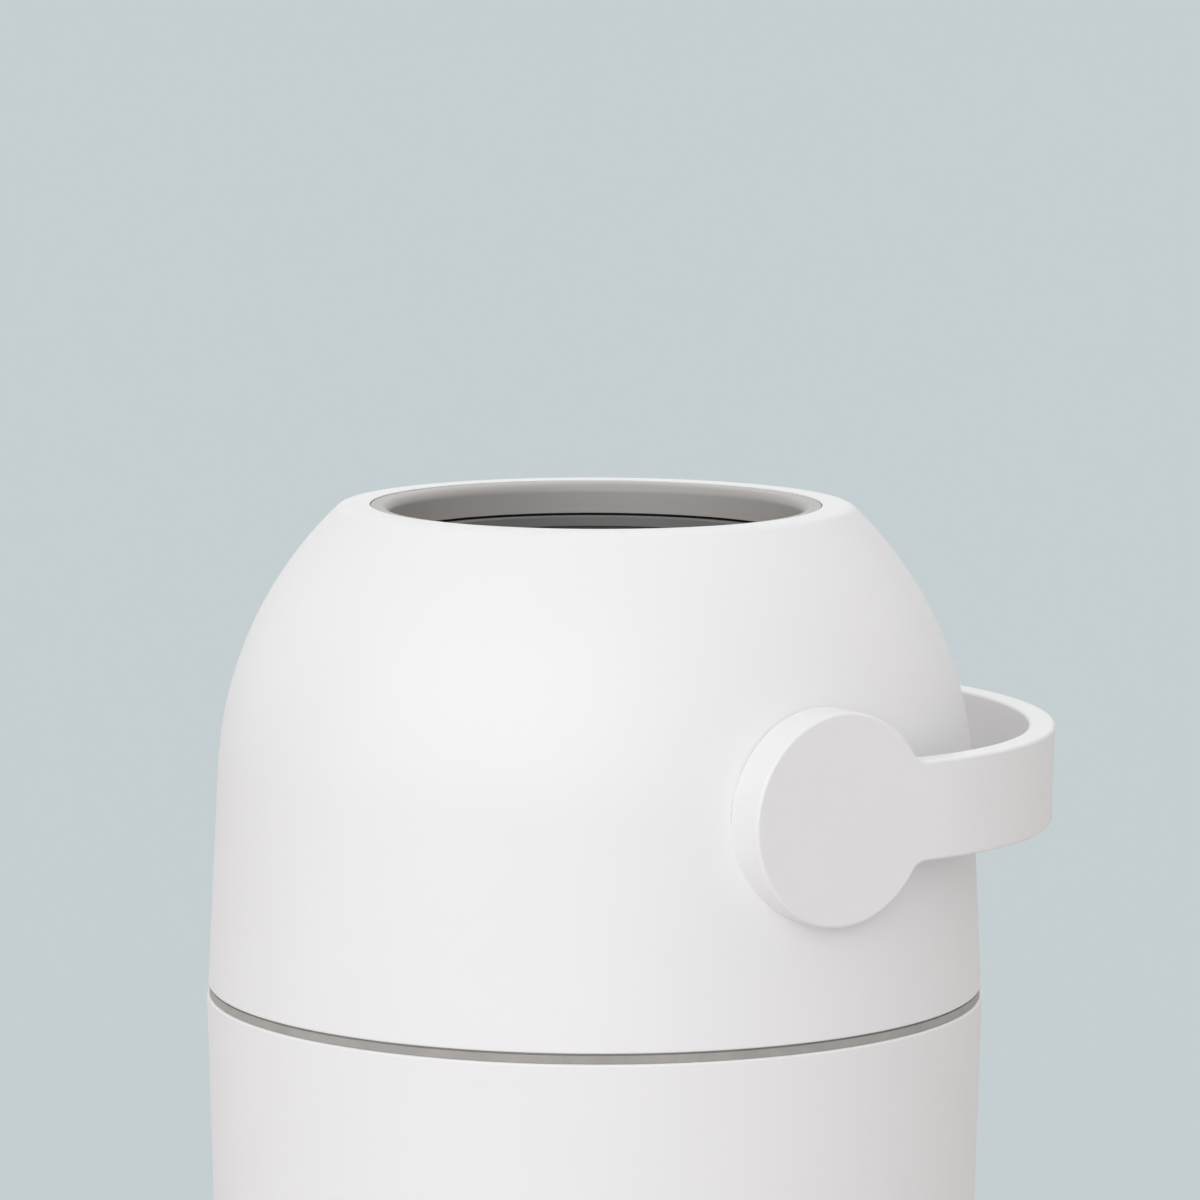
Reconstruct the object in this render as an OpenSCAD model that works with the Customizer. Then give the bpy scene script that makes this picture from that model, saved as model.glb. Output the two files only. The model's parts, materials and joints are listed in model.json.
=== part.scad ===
// Nappy bin with a turning drum. A domed head lifts off a bucket. Inside the head a ball-shaped drum
// turns with the handle, and a plunger slides in the drum's chamber and pushes the nappy into the bag.
// Z is up, the floor is at Z = 0, and the bin's axis is the Z axis. The drum turns about a line along Y.

/* [Body] */
// Outer diameter of the bucket's rim
body_d = 250.8; // [249:0.2:260]
// Height of the bucket's rim above the floor
bucket_h = 446.8; // [360:0.2:520]
// Radius that the bucket loses from its rim down to the floor
bucket_taper = 11.6; // [8:0.2:14]
// Wall of the bucket
bucket_wall = 2.6; // [2:0.1:3]
// Rounding of the bucket's lower edge
base_round = 8; // [5:0.5:12]

/* [Dome] */
// Height of the dome above the gasket
dome_h = 155; // [155:0.5:158]
// Wall of the dome
dome_wall = 3; // [2.4:0.1:3.2]
// Radius of the dome's shoulder
shoulder_r = 123.8; // [121:0.2:125]
// Lean of the dome's straight side, in degrees
side_tilt = 2.8; // [2:0.1:3.4]
// Lean of the shoulder where the lip starts, in degrees
lip_tilt = 46.4; // [45:0.2:48]
// Rounding between shoulder and flat lip
lip_r = 4; // [3.6:0.1:6]
// Radius of the hole in the dome's top
mouth_r = 72.7; // [72:0.1:73.4]
// Height of the gasket that shows between bucket and dome
gasket_t = 3.2; // [2:0.1:4]

/* [Drum] */
// Height of the drum's axis above the dome's lower edge
pivot_h = 69; // [68:0.5:70]
// Radius of the drum's ball
drum_r = 100; // [98:0.5:100.5]
// Distance from the axis to each flat end of the drum
drum_cut = 75; // [74:0.5:75]
// Wall of the drum's shells
drum_wall = 3; // [2.4:0.1:3.2]
// Inner radius of the chamber
chamber_r = 63; // [61:0.5:63.5]
// Height of the plunger
plunger_h = 30; // [24:1:40]

/* [Handle] */
// Radius of the round hub
hub_r = 33.4; // [30:0.2:35]
// Distance from the bin's axis to the hub's outer face
hub_y = 129.7; // [129.4:0.1:132]
// Height of the handle's band
band_h = 31.4; // [26:0.2:34]
// Thickness of the handle's band
band_t = 8; // [7:0.2:9]
// Length of the straight stretch beyond the drum's axis
band_run = 33.6; // [33:0.2:40]
// Radius of the bend beside the hub
bend_r = 106; // [100:1:110]
// Radius of the wide bend at the back of the hand
grip_r = 137.4; // [135:0.2:142]
// Rounding of the band's and the hub's edges
edge_r = 1.1; // [0.8:0.1:2.5]
// Radius of the fillet between hub and band
neck_r = 6; // [4:0.5:7]

/* [Hidden] */
$fn = 144;

white = [0.94, 0.94, 0.94];
pale_grey = [0.72, 0.72, 0.73];
mid_grey = [0.5, 0.5, 0.51];
dark_grey = [0.33, 0.33, 0.34];
steel = [0.7, 0.71, 0.72];

// Running clearance of the shafts and slack of parts that only drop into each other
running = 0.05;
slack = 0.1;
// A cut goes this far past the face that it opens, or this far where it runs right out of the part
past = 1;
far = 40;

// Places
body_r = body_d / 2;
head_z = bucket_h + gasket_t;
pivot_z = head_z + pivot_h;

// Bucket, whose rim stands a little outside the dome's lower edge
rim_step = 0.4;
rim_round = 0.8;
wall_lean = atan(bucket_taper / bucket_h);
foot_h = 3;
foot_in = 96;
foot_out = 102;
foot_seat = 2;
recess_r = 92;
floor_under = 9;
floor_t = 3;
floor_round = 6;
under_rib_h = 1.5;
rib_t = 2;
ledge_z = bucket_h - 52;
ledge_t = 3;
ledge_w = 9;
gusset_h = 16;
gusset_count = 12;

// Bag ring
bag_ring_r = 103;
bag_ring_t = 2.5;
bag_skirt_h = 14;
bag_bead_h = 5;
bag_ring_gap = 1.2;
finger_r = 14;
finger_deep = 3;

// Dome, worked out from its lower edge up: a straight side, the shoulder's arc and the rounding of the lip,
// which run into each other
dome_r = body_r - rim_step;
dome_round = 0.6;
shoulder_rise = shoulder_r * (sin(lip_tilt) - sin(side_tilt));
side_h = dome_h - shoulder_rise - lip_r * (1 - sin(lip_tilt));
shoulder_c = [
    dome_r - side_h * tan(side_tilt) - shoulder_r * cos(side_tilt),
    side_h - shoulder_r * sin(side_tilt)
];
lip_c = shoulder_c + (shoulder_r - lip_r) * [cos(lip_tilt), sin(lip_tilt)];

// Mouth collar, wipers and the ledges that hold them
collar_seat = dome_h - 3.5;
ledge_in = collar_seat - 3;
collar_drop = 0.2;
collar_lean = 8;
collar_round = 3;
tube_in = 66.5;
tube_out = 69.5;
bead_r = 70.8;
bead_h = 1.3;
collar_end = 144.6;
wiper_r = 76;
wiper_lip = 1.6;
ball_gap = 0.3;
wiper_touch = 72.4;

// Hub recess in the dome's side, the stop groove in its floor and the bush through it
recess_y = 116.6;
recess_gap = 0.3;
recess_floor = 5.5;
recess_wall = 4;
hub_back = recess_y + 0.6;
groove_in = 26;
groove_out = 30.5;
groove_deep = 2.6;
lug_half = 6;
lug_free = 0.8;
bush_r = 11.5;
bush_flange_r = 15;
bush_flange_t = 1.7;

// Drum floor, which carries the lower wiper and the chute
plate_t = 3;
plate_r = 121.5;
well_r = 84;
well_floor = 2 * pivot_h - ledge_in;
chute_end = -30;
spigot_in = 117.6;
spigot_out = 119.8;
spigot_h = 12;
screw_ring = 110;
screw_count = 6;
boss_r = 4.2;
boss_top = 20;
web_t = 2.4;
floor_rib_h = 8;

// Trunnions
shaft_r = 9;
shaft_bore = 5.6;
flange_r = 20;
flange_flat = 16;
flange_in = 88.1;
flange_out = 92.1;
web_out = 96;
drive_start = hub_back - 0.2;
drive_end = 124.8;
drive_flat = 7.5;
saddle_r = 24;
saddle_in = 84;
driver_r = 12;

// Drum shells, end rings, tube and screws
end_t = 3;
end_in = chamber_r - 2.4;
end_ring_z = drum_cut - 17;
tongue_h = 4;
tongue_t = 2;
tube_t = 2.5;
seat_t = 2.4;
seat_h = 10;
drum_screw_at = [36, 78];
drum_boss_r = 5;
screw_head_r = 3.6;
screw_head_t = 2.4;
screw_shank_r = 1.5;
screw_hole_r = 1.9;
counterbore_r = 4;
counterbore_end = 14;

// Plunger
plunger_r = chamber_r - 0.8;
plunger_wall = 2.5;
plunger_edge = 1.5;
seal_r = chamber_r - 0.3;
seal_h = 4;
weight_r = 48;
weight_t = 6;

// Handle
hub_t = hub_y - hub_back;
socket_end = drive_end + 0.4;
// The bend's sweep, at which the wide bend's centre falls on the bin's middle plane
bend_sweep = acos((hub_y - bend_r) / (grip_r - bend_r));
grip_c = band_run - (grip_r - bend_r) * sin(bend_sweep);
neck_x = sqrt(pow(hub_r + neck_r, 2) - pow(band_h / 2 + neck_r, 2));
// Angle by which the wide bend is let into the bend beside the hub, and the step that keeps their faces apart
let_in = 1;
let_in_step = 0.02;

module at_head() translate([0, 0, head_z]) children();
module at_pivot() translate([0, 0, pivot_z]) children();
module at_plunger() at_pivot() translate([0, 0, plunger_h / 2 - drum_cut + end_t + slack]) children();

// Lays a part that is drawn along Z on the drum's axis: its Z then points out of the bin's front, -Y
module front_side() at_pivot() rotate([90, 0, 0]) children();
module rear_side() at_pivot() mirror([0, 1, 0]) rotate([90, 0, 0]) children();

// Ring with a plain rectangular section
module ring(r_in, r_out, z0, z1) {
    rotate_extrude() translate([r_in, z0]) square([r_out - r_in, z1 - z0]);
}

// Part of a section between two heights, bounded on its outside by an arc
module arc_band(c, r, z0, z1) {
    intersection() {
        union() {
            translate(c) circle(r = r, $fn = 720);
            if (c.x > 0) translate([0, z0]) square([c.x, z1 - z0]);
        }
        translate([0, z0]) square([body_r + past, z1 - z0]);
    }
}

// What the rounding of a section's corner takes away: all that lies outside the circle between two heights
module corner_cut(c, r, z0, z1) {
    difference() {
        translate([c.x, z0]) square([r + past, z1 - z0]);
        translate(c) circle(r = r);
    }
}

// Half section of the dome, drawn in from its outer face by an inset. Each arc starts lower than the point
// where it takes over, and stays inside the outline until there.
module dome_section(inset, z0) {
    foot_x = dome_r - inset / cos(side_tilt);
    side_top = shoulder_c.y + (shoulder_r - inset) * sin(side_tilt);
    shoulder_top = shoulder_c.y + (shoulder_r - inset) * sin(lip_tilt);
    polygon([
        [0, z0],
        [foot_x - z0 * tan(side_tilt), z0],
        [foot_x - side_top * tan(side_tilt), side_top],
        [0, side_top]
    ]);
    arc_band(shoulder_c, shoulder_r - inset, side_top / 2, shoulder_top);
    arc_band(lip_c, lip_r - inset, lip_c.y, dome_h - inset);
}

// Outer radius of the bucket at a height
function bucket_r(z) = body_r - bucket_taper * (bucket_h - z) / bucket_h;

// Half section of the bucket, drawn in by an inset, with its lower corner rounded
module bucket_section(inset, z0, z1, corner) {
    c = [bucket_r(z0 + corner) - (inset + corner) / cos(wall_lean), z0 + corner];
    polygon([
        [0, z0],
        [c.x, z0],
        c + corner * [cos(wall_lean), -sin(wall_lean)],
        [bucket_r(z1) - inset / cos(wall_lean), z1],
        [0, z1]
    ]);
    translate(c) circle(r = corner);
}

module gusset() {
    wall_x = bucket_r(ledge_z - ledge_t) - bucket_wall;
    rotate([90, 0, 0]) translate([0, 0, -rib_t / 2]) linear_extrude(rib_t) polygon([
        [wall_x - ledge_w + 2, ledge_z - ledge_t / 2],
        [wall_x + 1, ledge_z - ledge_t / 2],
        [wall_x + 1, ledge_z - gusset_h],
        [wall_x - 1, ledge_z - gusset_h]
    ]);
}

module bucket_shell() {
    ledge_x = bucket_r(ledge_z) - bucket_wall;
    under_rib_w = recess_r - 30;
    rim_z = bucket_h - rim_round;
    rim_c = [bucket_r(rim_z) - rim_round / cos(wall_lean), rim_z];
    color(white) {
        rotate_extrude() difference() {
            bucket_section(0, foot_h, bucket_h, base_round);
            corner_cut(rim_c, rim_round, rim_z - rim_round * sin(wall_lean), bucket_h + past);
            bucket_section(bucket_wall, floor_under + floor_t, bucket_h + past, floor_round);
            translate([0, foot_h - past]) square([recess_r, floor_under - foot_h + past]);
            translate([foot_in - slack, foot_h - past])
                square([foot_out - foot_in + 2 * slack, foot_seat + past + slack]);
        }
        ring(ledge_x - ledge_w, ledge_x + 1, ledge_z - ledge_t, ledge_z);
        for (i = [0 : gusset_count - 1]) rotate(360 / gusset_count * i) gusset();
        for (i = [0 : 7]) rotate(45 * i) translate([30, -rib_t / 2, floor_under - under_rib_h])
            cube([under_rib_w + 1, rib_t, under_rib_h + 1]);
    }
}

module foot_ring() {
    color(dark_grey) rotate_extrude() polygon([
        [foot_in + 1, 0],
        [foot_out - 1, 0],
        [foot_out, 1],
        [foot_out, foot_h + foot_seat],
        [foot_in, foot_h + foot_seat],
        [foot_in, 1]
    ]);
}

module bag_ring() {
    outer = bucket_r(ledge_z) - bucket_wall - bag_ring_gap;
    color(pale_grey) difference() {
        union() {
            ring(bag_ring_r, outer, ledge_z, ledge_z + bag_ring_t);
            ring(bag_ring_r, bag_ring_r + bag_ring_t, ledge_z - bag_skirt_h, ledge_z + bag_ring_t);
            ring(outer - bag_ring_t, outer, ledge_z, ledge_z + bag_bead_h);
        }
        for (side = [-1, 1]) translate([side * bag_ring_r, 0, ledge_z - finger_deep])
            cylinder(r = finger_r, h = far);
    }
}

// Boss for a floor screw, with the web that ties it to the dome's wall
module screw_boss() {
    translate([screw_ring, 0, plate_t]) cylinder(r = boss_r, h = boss_top - plate_t);
    translate([screw_ring, -web_t / 2, plate_t]) cube([body_r - screw_ring, web_t, boss_top - plate_t]);
}

module at_floor_screws() {
    for (i = [0 : screw_count - 1]) rotate(360 / screw_count * (i + 0.5)) children();
}

// Recess for one hub with its stop groove, and the bush's hole, all open towards +Z
module hub_recess() {
    cut_angle = 180 + 2 * (lug_half + lug_free);
    translate([0, 0, recess_y]) cylinder(r = hub_r + recess_gap, h = far);
    translate([0, 0, recess_y - recess_floor - past]) cylinder(r = bush_r, h = recess_floor + 2 * past);
    rotate(-lug_half - lug_free) rotate_extrude(angle = cut_angle)
        translate([groove_in, recess_y - groove_deep]) square([groove_out - groove_in, groove_deep + past]);
}

module dome_shell() {
    recess_start = recess_y - recess_floor;
    boss = hub_r + recess_gap + recess_wall;
    foot_c = [dome_r - dome_round * tan(side_tilt) - dome_round / cos(side_tilt), dome_round];
    color(white) difference() {
        at_head() difference() {
            rotate_extrude() difference() {
                dome_section(0, 0);
                corner_cut(foot_c, dome_round, -past, dome_round * (1 + sin(side_tilt)));
            }
            difference() {
                rotate_extrude() dome_section(dome_wall, -past);
                ring(mouth_r - 3, wiper_r + 20, ledge_in, dome_h);
                for (side = [-1, 1]) translate([0, side * (recess_start + 10), pivot_h])
                    rotate([90, 0, 0]) cylinder(r = boss, h = 20, center = true);
                at_floor_screws() screw_boss();
            }
            translate([0, 0, ledge_in - past]) cylinder(r = tube_out + slack, h = far);
            translate([0, 0, collar_seat]) cylinder(r = mouth_r, h = far);
            at_floor_screws() translate([screw_ring, 0, 0])
                cylinder(r = screw_shank_r + 0.02, h = boss_top - 2);
        }
        front_side() hub_recess();
        rear_side() hub_recess();
    }
}

// The collar's flange shows as the grey ring round the mouth, a little below the dome's lip. It leans in
// towards the mouth and rounds over into the tube.
module mouth_collar() {
    rim = [mouth_r - slack, dome_h - collar_drop];
    edge = tube_in + collar_round * (1 - sin(collar_lean));
    edge_z = rim.y - (rim.x - edge) * tan(collar_lean);
    c = [tube_in + collar_round, edge_z - collar_round * cos(collar_lean)];
    color(pale_grey) at_head() rotate_extrude() {
        polygon([
            [tube_in, collar_end],
            [bead_r - 0.4, collar_end],
            [bead_r, collar_end + 0.4],
            [bead_r, collar_end + bead_h],
            [tube_out, collar_end + bead_h],
            [tube_out, collar_seat],
            [rim.x, collar_seat],
            rim,
            [edge, edge_z],
            c,
            [tube_in, c.y]
        ]);
        intersection() {
            translate(c) circle(r = collar_round);
            translate([tube_in, c.y]) square(collar_round);
        }
    }
}

// Rubber ring with a lip that wipes the ball, drawn as it lies under the mouth
module wiper() {
    top = ledge_in - slack;
    under = collar_end + bead_h + slack;
    touch = pivot_h + sqrt(pow(drum_r + ball_gap, 2) - pow(wiper_touch, 2));
    color(dark_grey) rotate_extrude() polygon([
        [tube_out + slack, under],
        [wiper_r - 2, under],
        [wiper_touch, touch],
        [wiper_touch + wiper_lip, touch + 0.2],
        [wiper_r, under],
        [wiper_r, top],
        [tube_out + slack, top]
    ]);
}

module upper_wiper() at_head() wiper();

// The same ring, turned over about the drum's axis
module lower_wiper() at_pivot() mirror([0, 0, 1]) translate([0, 0, -pivot_h]) wiper();

module drum_floor() {
    color(pale_grey) at_head() difference() {
        union() {
            ring(well_r, plate_r, 0, plate_t);
            ring(well_r, well_r + plate_t, well_floor - plate_t, plate_t);
            ring(tube_in, well_r + plate_t, well_floor - plate_t, well_floor);
            ring(tube_in, tube_out, chute_end, 2 * pivot_h - collar_end);
            ring(tube_in, bead_r, 2 * pivot_h - collar_end - bead_h, 2 * pivot_h - collar_end);
            ring(spigot_in, spigot_out, -spigot_h, 0);
            for (i = [0 : 11]) rotate(30 * i + 15) translate([well_r + 1, -rib_t / 2, -floor_rib_h])
                cube([spigot_in - well_r, rib_t, floor_rib_h + 1]);
        }
        at_floor_screws() translate([screw_ring, 0, -past]) cylinder(r = screw_hole_r, h = plate_t + 2 * past);
    }
}

module seal_gasket() {
    outer = dome_r - 0.4;
    rim_in = body_r - bucket_wall;
    color(dark_grey) at_head() rotate_extrude() polygon([
        [spigot_out + slack, 0],
        [outer, 0],
        [outer, -gasket_t],
        [rim_in - 0.3, -gasket_t],
        [rim_in - 0.6, -gasket_t - 4],
        [spigot_out + slack, -gasket_t - 4]
    ]);
}

module bush() {
    inner = recess_y - recess_floor;
    color(white) difference() {
        union() {
            translate([0, 0, inner - bush_flange_t]) cylinder(r = bush_r - 0.02, h = recess_floor + bush_flange_t);
            translate([0, 0, inner - bush_flange_t]) cylinder(r = bush_flange_r, h = bush_flange_t);
        }
        translate([0, 0, inner - bush_flange_t - past]) cylinder(r = shaft_r + running, h = far);
    }
}

module bush_front() front_side() bush();
module bush_rear() rear_side() bush();

// Pan-head screw with its head below Z = 0 and its shank upwards
module screw(length) {
    translate([0, 0, -screw_head_t]) cylinder(r1 = screw_head_r - 1, r2 = screw_head_r, h = screw_head_t / 2);
    translate([0, 0, -screw_head_t / 2]) cylinder(r = screw_head_r, h = screw_head_t / 2);
    cylinder(r = screw_shank_r, h = length);
}

module floor_screws() {
    color(steel) at_head() at_floor_screws() translate([screw_ring, 0, 0]) screw(14);
}

// Outline of the trunnion's drive end, round with two flats
module drive_outline(gap) {
    intersection() {
        circle(r = shaft_r + gap);
        square([4 * shaft_r, 2 * (drive_flat + gap)], center = true);
    }
}

// Outline of the trunnion's flange, round with a flat on each side that keeps it from turning in the shells
module flange_outline(gap) {
    intersection() {
        circle(r = flange_r + gap);
        square([2 * (flange_flat + gap), 4 * flange_r], center = true);
    }
}

module trunnion() {
    color(mid_grey) difference() {
        union() {
            translate([0, 0, flange_in]) linear_extrude(flange_out - flange_in) flange_outline(0);
            translate([0, 0, flange_in + 1]) cylinder(r = shaft_r, h = drive_start - flange_in - 1);
            translate([0, 0, drive_start]) linear_extrude(drive_end - drive_start) drive_outline(0);
        }
        translate([0, 0, web_out]) cylinder(r = shaft_bore, h = far);
        translate([0, 0, flange_in - past]) cylinder(r = screw_hole_r, h = far);
    }
}

module trunnion_front() front_side() trunnion();
module trunnion_rear() rear_side() trunnion();

module hub_screw() {
    translate([0, 0, flange_in]) screw(26);
}

module hub_screws() {
    color(steel) {
        front_side() hub_screw();
        rear_side() hub_screw();
    }
}

module at_drum_screws() {
    for (x = [-1, 1], y = [-1, 1]) translate([x * drum_screw_at.x, y * drum_screw_at.y, 0]) children();
}

// What one trunnion needs in a shell: a saddle block, drawn along Z
module saddle_block() {
    translate([0, 0, saddle_in]) cylinder(r = saddle_r, h = drum_r - saddle_in);
}

module saddle_cut() {
    translate([0, 0, saddle_in - past]) cylinder(r = driver_r, h = 10);
    translate([0, 0, flange_in - slack]) linear_extrude(flange_out - flange_in + 2 * slack) flange_outline(slack);
    translate([0, 0, flange_out - past]) cylinder(r = shaft_r + slack, h = far);
}

// Upper half of the drum up to its end ring, with its split face at Z = 0
module drum_half() {
    difference() {
        intersection() {
            sphere(r = drum_r);
            cylinder(r = drum_r + past, h = end_ring_z);
        }
        difference() {
            sphere(r = drum_r - drum_wall);
            rotate([90, 0, 0]) saddle_block();
            rotate([-90, 0, 0]) saddle_block();
            at_drum_screws() cylinder(r = drum_boss_r, h = drum_r);
        }
        rotate([90, 0, 0]) saddle_cut();
        rotate([-90, 0, 0]) saddle_cut();
    }
}

// Section of the ball's wall between two radii and two heights
module ball_band(r_in, r_out, z0, z1) {
    difference() {
        intersection() {
            circle(r = r_out, $fn = 720);
            translate([0, z0]) square([r_out, z1 - z0]);
        }
        circle(r = r_in, $fn = 720);
    }
}

// Ring that closes the drum's end: the ball's surface runs on over it, a tongue laps into the shell, and a
// flange and a skirt hold the end of the chamber tube. The flange also stops the plunger.
module end_ring() {
    skirt_in = chamber_r + tube_t + slack;
    inner = drum_r - drum_wall;
    rotate_extrude() {
        difference() {
            ball_band(inner, drum_r, end_ring_z + slack / 2, drum_cut);
            translate([0, end_ring_z - past]) square([skirt_in, drum_cut - end_t - end_ring_z + past]);
        }
        ball_band(inner - tongue_t, inner - slack, end_ring_z - tongue_h, end_ring_z + tongue_h);
        ball_band(inner - tongue_t, inner + slack, end_ring_z + slack / 2, end_ring_z + tongue_h);
        intersection() {
            circle(r = drum_r, $fn = 720);
            translate([skirt_in, drum_cut - end_t - seat_h]) square([seat_t, seat_h + end_t / 2]);
        }
        intersection() {
            circle(r = drum_r, $fn = 720);
            translate([end_in, drum_cut - end_t]) square([skirt_in + seat_t - end_in, end_t]);
        }
    }
}

module end_ring_upper() color(mid_grey) at_pivot() end_ring();
module end_ring_lower() color(mid_grey) at_pivot() mirror([0, 0, 1]) end_ring();

module drum_shell_upper() {
    color(mid_grey) at_pivot() difference() {
        drum_half();
        at_drum_screws() translate([0, 0, -past]) cylinder(r = screw_shank_r + 0.02, h = 16);
    }
}

module drum_shell_lower() {
    color(mid_grey) at_pivot() mirror([0, 0, 1]) difference() {
        drum_half();
        at_drum_screws() translate([0, 0, -past]) cylinder(r = screw_hole_r, h = drum_r);
        at_drum_screws() translate([0, 0, counterbore_end]) cylinder(r = counterbore_r, h = drum_r);
    }
}

module drum_screws() {
    color(steel) at_pivot() at_drum_screws() translate([0, 0, -counterbore_end]) screw(counterbore_end + 12);
}

module chamber_tube() {
    reach = drum_cut - end_t;
    color(pale_grey) at_pivot() ring(chamber_r, chamber_r + tube_t, -reach, reach);
}

// Half of the plunger's shell: a cap whose closed face is up, with a narrower neck that carries the seal.
// Inside, a ring locates the weight and a cross of ribs holds it down.
module plunger_half() {
    top = plunger_h / 2;
    neck = plunger_r - plunger_wall;
    rotate_extrude() difference() {
        union() {
            square([neck, top - plunger_edge]);
            translate([0, seal_h / 2]) square([plunger_r, top - plunger_edge - seal_h / 2]);
            square([plunger_r - plunger_edge, top]);
            translate([plunger_r - plunger_edge, top - plunger_edge]) circle(r = plunger_edge);
        }
        translate([-past, -past]) square([neck - plunger_wall + past, top - plunger_wall + past]);
        translate([neck, -past]) square([plunger_wall + past, seal_h / 2 + past]);
    }
    ring(weight_r + slack, weight_r + rib_t, weight_t / 6, top - plunger_wall / 2);
    for (turn = [0, 90]) rotate(turn) translate([-weight_r - rib_t / 2, -rib_t / 2, weight_t / 2])
        cube([2 * weight_r + rib_t, rib_t, top - plunger_wall / 2 - weight_t / 2]);
}

module plunger_cap_upper() color(pale_grey) at_plunger() plunger_half();
module plunger_cap_lower() color(pale_grey) at_plunger() mirror([0, 0, 1]) plunger_half();

module plunger_weight() {
    color(steel) at_plunger() cylinder(r = weight_r, h = weight_t, center = true);
}

module plunger_seal() {
    color(dark_grey) at_plunger()
        ring(plunger_r - plunger_wall + slack / 2, seal_r, -seal_h / 2 + slack / 2, seal_h / 2 - slack / 2);
}

// Section of the band, upright, with its outer face at X = 0 and its four edges rounded
module band_section(inset) {
    half_h = band_h / 2 - inset;
    corner = edge_r - inset;
    for (x = [-band_t + edge_r, -edge_r], y = [-1, 1])
        translate([x, y * (half_h - corner)]) circle(r = corner);
    translate([-band_t + inset, -half_h + corner]) square([band_t - 2 * inset, 2 * (half_h - corner)]);
    translate([-band_t + edge_r, -half_h]) square([band_t - 2 * edge_r, 2 * half_h]);
}

// Hub with its side of the band, on the front side
module handle_half() {
    // hub
    translate([0, -hub_back, 0]) rotate([90, 0, 0]) rotate_extrude() {
        square([hub_r - edge_r, hub_t]);
        square([hub_r, hub_t - edge_r]);
        translate([hub_r - edge_r, hub_t - edge_r]) circle(r = edge_r);
    }
    // neck, which ends at the points where its two fillets touch the hub
    translate([0, -hub_y + band_t - 0.2, 0]) rotate([90, 0, 0]) linear_extrude(band_t - 0.8) difference() {
        polygon([[0, 0], [neck_x, -band_h / 2 - neck_r], [neck_x, band_h / 2 + neck_r]]);
        for (y = [-1, 1]) translate([neck_x, y * (band_h / 2 + neck_r)]) circle(r = neck_r);
    }
    // straight stretch and the bend beside the hub
    translate([hub_r / 2, -hub_y, 0]) rotate([90, 0, 90]) linear_extrude(band_run - hub_r / 2)
        mirror([1, 0]) band_section(0);
    translate([band_run, bend_r - hub_y, 0]) rotate(-90) rotate_extrude(angle = bend_sweep)
        translate([bend_r, 0]) band_section(0);
}

// Wide bend at the back of the hand, let a little way into the bend on each side
module grip_bend() {
    translate([grip_c, 0, 0]) rotate(bend_sweep - 90 - let_in)
        rotate_extrude(angle = 180 - 2 * bend_sweep + 2 * let_in)
            translate([grip_r, 0]) band_section(let_in_step);
}

// Socket and pin for one trunnion, drawn along Z
module hub_socket() {
    translate([0, 0, hub_back - past]) linear_extrude(socket_end - hub_back + past) drive_outline(running);
}

module hub_pin() {
    difference() {
        translate([0, 0, web_out + 1]) cylinder(r = shaft_bore - slack, h = socket_end - web_out);
        translate([0, 0, web_out]) cylinder(r = screw_shank_r + 0.02, h = 22);
    }
    rotate(-lug_half) rotate_extrude(angle = 2 * lug_half)
        translate([groove_in + 0.4, recess_y - groove_deep + 0.4])
            square([groove_out - groove_in - 0.8, hub_back - recess_y + groove_deep]);
}

module handle() {
    color(white) {
        difference() {
            at_pivot() {
                handle_half();
                mirror([0, 1, 0]) handle_half();
                grip_bend();
            }
            front_side() hub_socket();
            rear_side() hub_socket();
        }
        front_side() hub_pin();
        rear_side() hub_pin();
    }
}

bucket_shell();
bag_ring();
foot_ring();
dome_shell();
mouth_collar();
upper_wiper();
lower_wiper();
drum_floor();
seal_gasket();
bush_front();
bush_rear();
floor_screws();
drum_shell_upper();
drum_shell_lower();
end_ring_upper();
end_ring_lower();
chamber_tube();
trunnion_front();
trunnion_rear();
handle();
hub_screws();
drum_screws();
plunger_cap_upper();
plunger_cap_lower();
plunger_weight();
plunger_seal();
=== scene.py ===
import json
import math

import bmesh
import bpy
import numpy as np
from mathutils import Matrix, Vector


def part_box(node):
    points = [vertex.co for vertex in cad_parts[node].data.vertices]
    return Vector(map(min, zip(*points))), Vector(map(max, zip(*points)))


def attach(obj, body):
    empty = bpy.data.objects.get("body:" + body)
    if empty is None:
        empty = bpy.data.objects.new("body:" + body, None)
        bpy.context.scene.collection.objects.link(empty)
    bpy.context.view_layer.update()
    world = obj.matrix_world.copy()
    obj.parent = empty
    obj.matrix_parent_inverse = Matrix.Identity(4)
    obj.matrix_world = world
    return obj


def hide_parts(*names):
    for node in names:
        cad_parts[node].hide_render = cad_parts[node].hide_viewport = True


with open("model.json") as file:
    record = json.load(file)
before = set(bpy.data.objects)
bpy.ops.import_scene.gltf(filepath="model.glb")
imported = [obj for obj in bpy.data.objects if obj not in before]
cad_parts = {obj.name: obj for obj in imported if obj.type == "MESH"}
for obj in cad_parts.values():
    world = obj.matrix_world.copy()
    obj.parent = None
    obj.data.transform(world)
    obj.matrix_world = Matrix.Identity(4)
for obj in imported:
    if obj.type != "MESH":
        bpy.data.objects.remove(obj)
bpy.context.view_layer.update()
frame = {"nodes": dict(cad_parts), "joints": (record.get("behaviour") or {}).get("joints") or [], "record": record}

# ---------------------------------------------------------------------------------------------
# Measures that the frame gives, in metres
# ---------------------------------------------------------------------------------------------
MM = 0.001
# The dome's lower edge, the drum's axis and the hubs' outer faces
HEAD_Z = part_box("dome_shell")[0].z
handle_turn = next(joint for joint in frame["joints"] if joint["name"] == "handle_turn")
PIVOT_Z = handle_turn["pos_m"][2]
HUB_Y = -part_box("handle")[0].y
bag_low, bag_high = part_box("bag_ring")

slot_of = {part["node"]: part["material_slot"] for part in frame["record"]["subparts"]}
bodies = frame["record"]["behaviour"]["bodies"]
body_of = {name: body for body, names in bodies.items() for name in names}

# ---------------------------------------------------------------------------------------------
# Materials
# ---------------------------------------------------------------------------------------------
NOISE_ROUGHNESS = 0.55
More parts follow.
